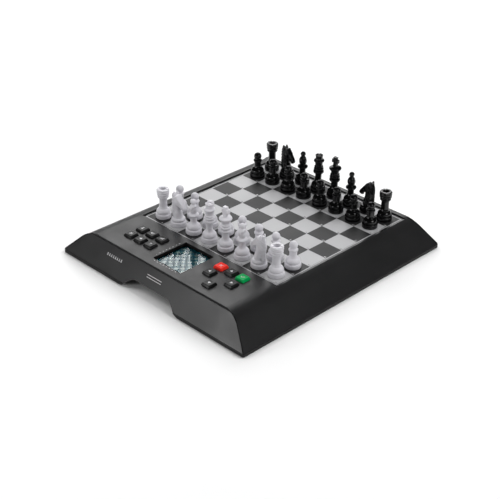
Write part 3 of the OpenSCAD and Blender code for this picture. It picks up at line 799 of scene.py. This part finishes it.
def loft(name, layers, sharp=35):
    """Closed skin through rounded squares (half width, corner radius, height) in mm."""
    verts, rings = [], []
    for w, r, z in layers:
        rings.append(range(len(verts), len(verts) + RING))
        verts += [(x, y, z) for x, y in rounded_square(w, r)]
    faces = [list(rings[0])[::-1], list(rings[-1])]
    for a, b in zip(rings, rings[1:]):
        faces += [[a[i], a[(i + 1) % RING], b[(i + 1) % RING], b[i]] for i in range(RING)]
    return new_mesh(name, verts, faces, sharp)


KEY_LO, KEY_HI = (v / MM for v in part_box("key_up"))
key_top, key_foot = KEY_HI.z, KEY_LO.z
panel = PANEL_Z / MM
flange_hi, flange_lo = panel - 2.5, panel - 3.7
top_half, dish = 5.04, 0.09
# rounded edge of the top: how far in and how far down, from the outside inwards
rim = [(0.0, 0.75), (0.07, 0.42), (0.2, 0.2), (0.42, 0.06), (0.7, 0.0)]
# stem, flange under the cover, shank in the opening, then the dished top
cap_layers = [(3, 0.3, key_foot), (3, 0.3, flange_lo), (6.9, 1.1, flange_lo), (7, 1.2, flange_lo + 0.1),
              (7, 1.2, flange_hi - 0.1), (6.9, 1.1, flange_hi), (6, 1.2, flange_hi), (6, 1.2, panel + 0.55),
              (5.94, 1.2, panel + 0.75)]
cap_layers += [(top_half + 0.22 - i, 1.15 - i, key_top - d) for i, d in rim]
cap_layers += [(4.1, 0.5, key_top), (3.7, 0.45, key_top - 0.05), (3.3, 0.4, key_top - dish)]
sign_z = key_top - dish


def arrow(dx, dy):
    """Filled triangle pointing along (dx, dy)."""
    tip, back, wing = 2.0, -1.2, 1.9
    return [[(tip * dx, tip * dy), (back * dx - wing * dy, back * dy + wing * dx),
             (back * dx + wing * dy, back * dy - wing * dx)]]


def bar(x0, y0, x1, y1, w):
    """Straight stroke of width w."""
    d = np.array([x1 - x0, y1 - y0], float)
    n = np.array([-d[1], d[0]]) / np.linalg.norm(d) * w / 2
    return [(x0 + n[0], y0 + n[1]), (x0 - n[0], y0 - n[1]), (x1 - n[0], y1 - n[1]), (x1 + n[0], y1 + n[1])]


def disc(x, y, r, n=14):
    return [(x + r * math.cos(a), y + r * math.sin(a)) for a in np.linspace(0, math.tau, n, endpoint=False)]


def scaled(outlines, x, size):
    """Outlines drawn about the origin, made size times as large and moved to x."""
    return [[(x + px * size, py * size) for px, py in outline] for outline in outlines]


SIGNS = {
    "key_up": arrow(0, 1), "key_down": arrow(0, -1), "key_left": arrow(-1, 0), "key_right": arrow(1, 0),
    "key_cancel": [bar(-1.7, -1.7, 1.7, 1.7, 0.8), bar(-1.7, 1.7, -0.4, 0.4, 0.8),
                   bar(0.4, -0.4, 1.7, -1.7, 0.8)],
    "key_enter": [bar(-2.0, 0.1, -0.7, -1.5, 0.8), bar(-0.98, -1.6, 2.0, 1.6, 0.8)],
    "key_new_game": [disc(0, 1.5, 0.75), [(-0.45, 1.0), (0.45, 1.0), (0.95, -1.2), (-0.95, -1.2)],
                     bar(-1.5, -1.6, 1.5, -1.6, 0.7)],
    "key_sound": [[(-2.1, -0.7), (-1.2, -0.7), (0.1, -1.8), (0.1, 1.8), (-1.2, 0.7), (-2.1, 0.7)],
                  bar(0.9, -0.9, 0.9, 0.9, 0.5), bar(1.8, -1.6, 1.8, 1.6, 0.5)],
    "key_level": [bar(-1.8, -1.7, -1.8, -0.5, 0.9), bar(-0.6, -1.7, -0.6, 0.3, 0.9),
                  bar(0.6, -1.7, 0.6, 1.1, 0.9), bar(1.8, -1.7, 1.8, 1.9, 0.9)],
    "key_position": [[(-1.8 + 1.2 * i, -1.8 + 1.2 * j), (-0.65 + 1.2 * i, -1.8 + 1.2 * j),
                      (-0.65 + 1.2 * i, -0.65 + 1.2 * j), (-1.8 + 1.2 * i, -0.65 + 1.2 * j)]
                     for i in range(3) for j in range(3) if (i + j) % 2 == 0],
    "key_take_back": [arrow(-1, 0)[0], bar(1.2, 0, 2.2, 0, 0.9)],
    "key_hint": [disc(0, -1.7, 0.42), bar(0, -0.95, 0, -0.1, 0.6), bar(0, -0.1, 1.0, 0.7, 0.6),
                 bar(1.0, 0.7, 0.6, 1.7, 0.6), bar(0.6, 1.7, -0.7, 1.7, 0.6),
                 bar(-0.7, 1.7, -1.1, 0.9, 0.6)],
}

SIGN_SIZE = 0.95
RELIEF = (-0.02, 0.05)      # a sign's underside and top, from the face it stands on, mm
cap_mesh = loft("key_cap", cap_layers)
slot_of = {s["node"]: s["material_slot"] for s in frame["record"]["subparts"]}
for node in KEYS:
    at = (*middle(node).xy, 0)
    mesh = cap_mesh.copy()
    wear(mesh, KEY_MATERIAL[slot_of[node]])
    place(f"{node}_cap", mesh, node, slot_of[node], at, stands_for=[node])
    sign = prism(f"{node}_sign", scaled(SIGNS[node], 0, SIGN_SIZE), *(sign_z + r for r in RELIEF))
    place(f"{node}_sign", sign, node, slot_of[node], at, material=SIGN_GREY)


# ---- marks on the front face -----------------------------------------------------------

BAND_H = 3.5         # height of the base's band over its underside, mm
band_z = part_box("bottom_housing")[0].z / MM + BAND_H
front_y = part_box("top_cover")[0].y / MM
# how far the front and back lean in over the cover's height
lean = 15.5 / 28
tilt = math.atan2(1, lean)
EDGE_Y = {-1: -front_y, 1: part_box("top_cover")[1].y / MM}
FACE_NEAR = 0.2      # a vertex this close to the leaning plane is on the face, mm


def face_outline(sign):
    """Upper outline of the cover's front (-1) or back (1) face, (x, y, z) in mm from corner to corner."""
    cover = nodes["top_cover"]
    points = set()
    for vertex in cover.data.vertices:
        x, y, z = cover.matrix_world @ vertex.co / MM
        if abs(y * sign - EDGE_Y[sign] + (z - band_z) * lean) < FACE_NEAR:
            points.add((round(x, 2), round(z, 2)))
    chain = []
    for x, z in sorted(points):
        while len(chain) > 1 and ((chain[-1][0] - chain[-2][0]) * (z - chain[-2][1])
                                  >= (chain[-1][1] - chain[-2][1]) * (x - chain[-2][0])):
            chain.pop()
        chain.append((x, z))
    return [(x, (EDGE_Y[sign] - (z - band_z) * lean) * sign, z) for x, z in chain]


def bead(path, r, around=10):
    """Round bar of radius r along a path of points, all in mm."""
    path = [np.array(p, float) for p in path]
    verts, faces = [], []
    for i, point in enumerate(path):
        along = path[min(i + 1, len(path) - 1)] - path[max(i - 1, 0)]
        u = np.cross(along, (0, 1, 0))
        u /= np.linalg.norm(u)
        v = np.cross(along / np.linalg.norm(along), u)
        verts += [tuple(point + r * (math.cos(a) * u + math.sin(a) * v))
                  for a in np.linspace(0, math.tau, around, endpoint=False)]
    for i in range(0, len(verts) - around, around):
        faces += [[i + k, i + (k + 1) % around, i + around + (k + 1) % around, i + around + k]
                  for k in range(around)]
    faces += [list(range(around))[::-1], list(range(len(verts) - around, len(verts)))]
    return new_mesh("bead", verts, faces, sharp=60)


# Round bars along the upper edges of the front and back faces, in the darker plastic: painted shade, the
# dark line that a rounded edge shows there.
SHADE_LINE_R = 0.6
for sign, side in ((-1, "front"), (1, "back")):
    shade_line = bead(face_outline(sign), SHADE_LINE_R)
    place(f"{side}_painted_shade_edge", shade_line, "casing", "casing_black", material=PAINTED_SHADE_BLACK)


def front_mark(name, outlines, x, z, material):
    """Thin raised outlines, in mm, on the leaning front face, centred at x and height z."""
    mesh = prism(name, outlines, *RELIEF)
    at = Vector((x, front_y + (z - band_z) * lean, z)) * MM
    mesh.transform(Matrix.Translation(at) @ Matrix.Rotation(tilt, 4, "X"))
    place(name, mesh, "casing", "casing_black", material=material)


plinth = bar(-1.2, -1.5, 1.2, -1.5, 0.6)
pawn_sign = [disc(0, 1.25, 0.62), [(-0.35, 0.8), (0.35, 0.8), (0.8, -1.1), (-0.8, -1.1)], plinth]
rook_sign = [[(-0.6, 0.7), (0.6, 0.7), (0.8, -1.1), (-0.8, -1.1)], plinth, bar(-1.0, 1.0, 1.0, 1.0, 0.5),
             *[bar(d, 1.2, d, 1.8, 0.45) for d in (-0.8, 0, 0.8)]]
pitch, men_size = 3.2, 0.8
row = []
for i in range(8):
    row += scaled(rook_sign if i in (0, 7) else pawn_sign, (i - 3.5) * pitch, men_size)
front_mark("front_men_sign", row, x=-64.1, z=22.0, material=SIGN_GREY)
rules = [bar(-11, z, 11, z, 0.5) for z in (-1.4, 1.4)]
front_mark("front_rules", rules, x=-0.3, z=22.5, material=PRINT_WHITE)


# ---- CAD nodes that stay ---------------------------------------------------------------

# The base's parts wear the darker plastic, whose colour paints the shade under the cover's edge.
BASE_NODES = ("bottom_housing", "battery_door", "recess_liner")
for name, node in nodes.items():
    if node.hide_render:
        continue
    wear(node, PAINTED_SHADE_BLACK if name in BASE_NODES else SLOT_MATERIAL[slot_of[name]])


# ---- floor, light and camera -----------------------------------------------------------

floor_half, floor_t = 4000, 20
sides = (-floor_half, floor_half)
floor = loose("floor", boxes_mesh("floor", [(sides, sides, (-floor_t, 0))]))
wear(floor, backdrop("floor_paper"))


def softbox(name, direction, distance, size, power, target=(0, 0, 0.02), mirrored=True):
    """Area light that way from the target, (azimuth, elevation) in degrees, azimuth 0 towards +Y.

    size is in metres and power in watts; mirrored says whether glossy surfaces show it."""
    a, e = (math.radians(v) for v in direction)
    away = Vector((math.sin(a) * math.cos(e), math.cos(a) * math.cos(e), math.sin(e)))
    data = bpy.data.lights.new(name, "AREA")
    data.shape, data.size, data.size_y = "RECTANGLE", *size
    data.energy = power
    obj = bpy.data.objects.new(name, data)
    scene.collection.objects.link(obj)
    obj.location = Vector(target) + away * distance
    obj.rotation_mode = "QUATERNION"
    obj.rotation_quaternion = away.to_track_quat("Z", "Y")
    obj.visible_camera = False
    obj.visible_glossy = mirrored
    return obj


softbox("back_left_light", (-44, 30), 2.0, (1.3, 0.9), 11.8)
softbox("right_light", (90, 35), 2.0, (0.9, 0.7), 7.2)
softbox("front_corner_light", (-150, 14), 0.75, (0.22, 0.18), 1.5, target=(0.12, -0.15, 0.02))
softbox("fill_back_right", (46, 50), 2.0, (1.2, 1.0), 25, mirrored=False)
softbox("fill_left", (-125, 50), 2.0, (1.2, 1.0), 12.5, mirrored=False)
softbox("fill_back_left", (-60, 30), 2.0, (1.2, 1.0), 12.5, mirrored=False)

world = bpy.data.worlds.new("studio")
scene.world = world
world.use_nodes = True
sky = world.node_tree
# a little light from all round for matt surfaces, dark surroundings for reflections, a white backdrop
path = sky.nodes.new("ShaderNodeLightPath")
last = sky.nodes["Background"].outputs[0]
for ray, strength in (("Is Glossy Ray", 0.018), ("Is Diffuse Ray", 0.12), ("Is Camera Ray", 1.0)):
    glow = sky.nodes.new("ShaderNodeBackground")
    glow.inputs["Strength"].default_value = strength
    glow.inputs["Color"].default_value = (1, 1, 1, 1)
    pick = sky.nodes.new("ShaderNodeMixShader")
    sky.links.new(path.outputs[ray], pick.inputs[0])
    sky.links.new(last, pick.inputs[1])
    sky.links.new(glow.outputs[0], pick.inputs[2])
    last = pick.outputs[0]
sky.nodes["Background"].inputs["Color"].default_value = (1, 1, 1, 1)
sky.nodes["Background"].inputs["Strength"].default_value = 1.0
sky.links.new(last, sky.nodes["World Output"].inputs["Surface"])
scene.view_settings.view_transform = "Standard"

# the camera's place about the board's centre: turns in degrees, lengths in squares of the board
AZIMUTH, ELEVATION, ROLL = (math.radians(v) for v in (44.447, 30.047, 0.924))
DISTANCE, RIGHT_SHIFT, UP_SHIFT = (v * SQUARE for v in (51.173, -1.071, -1.424))
back = Vector((math.sin(AZIMUTH) * math.cos(ELEVATION), -math.cos(AZIMUTH) * math.cos(ELEVATION),
               math.sin(ELEVATION)))
right = Vector((math.cos(AZIMUTH), math.sin(AZIMUTH), 0))
up = back.cross(right)
turned_right = right * math.cos(ROLL) + up * math.sin(ROLL)
turned_up = -right * math.sin(ROLL) + up * math.cos(ROLL)
camera_data = bpy.data.cameras.new("camera")
camera_data.lens, camera_data.sensor_width = 82.0, 36.0
camera_data.clip_start, camera_data.clip_end = 0.05, 20
camera = bpy.data.objects.new("camera", camera_data)
scene.collection.objects.link(camera)
camera_at = BOARD + back * DISTANCE + turned_right * RIGHT_SHIFT + turned_up * UP_SHIFT
facing = Matrix((turned_right, turned_up, back)).transposed().to_4x4()
camera.matrix_world = Matrix.Translation(camera_at) @ facing
scene.camera = camera
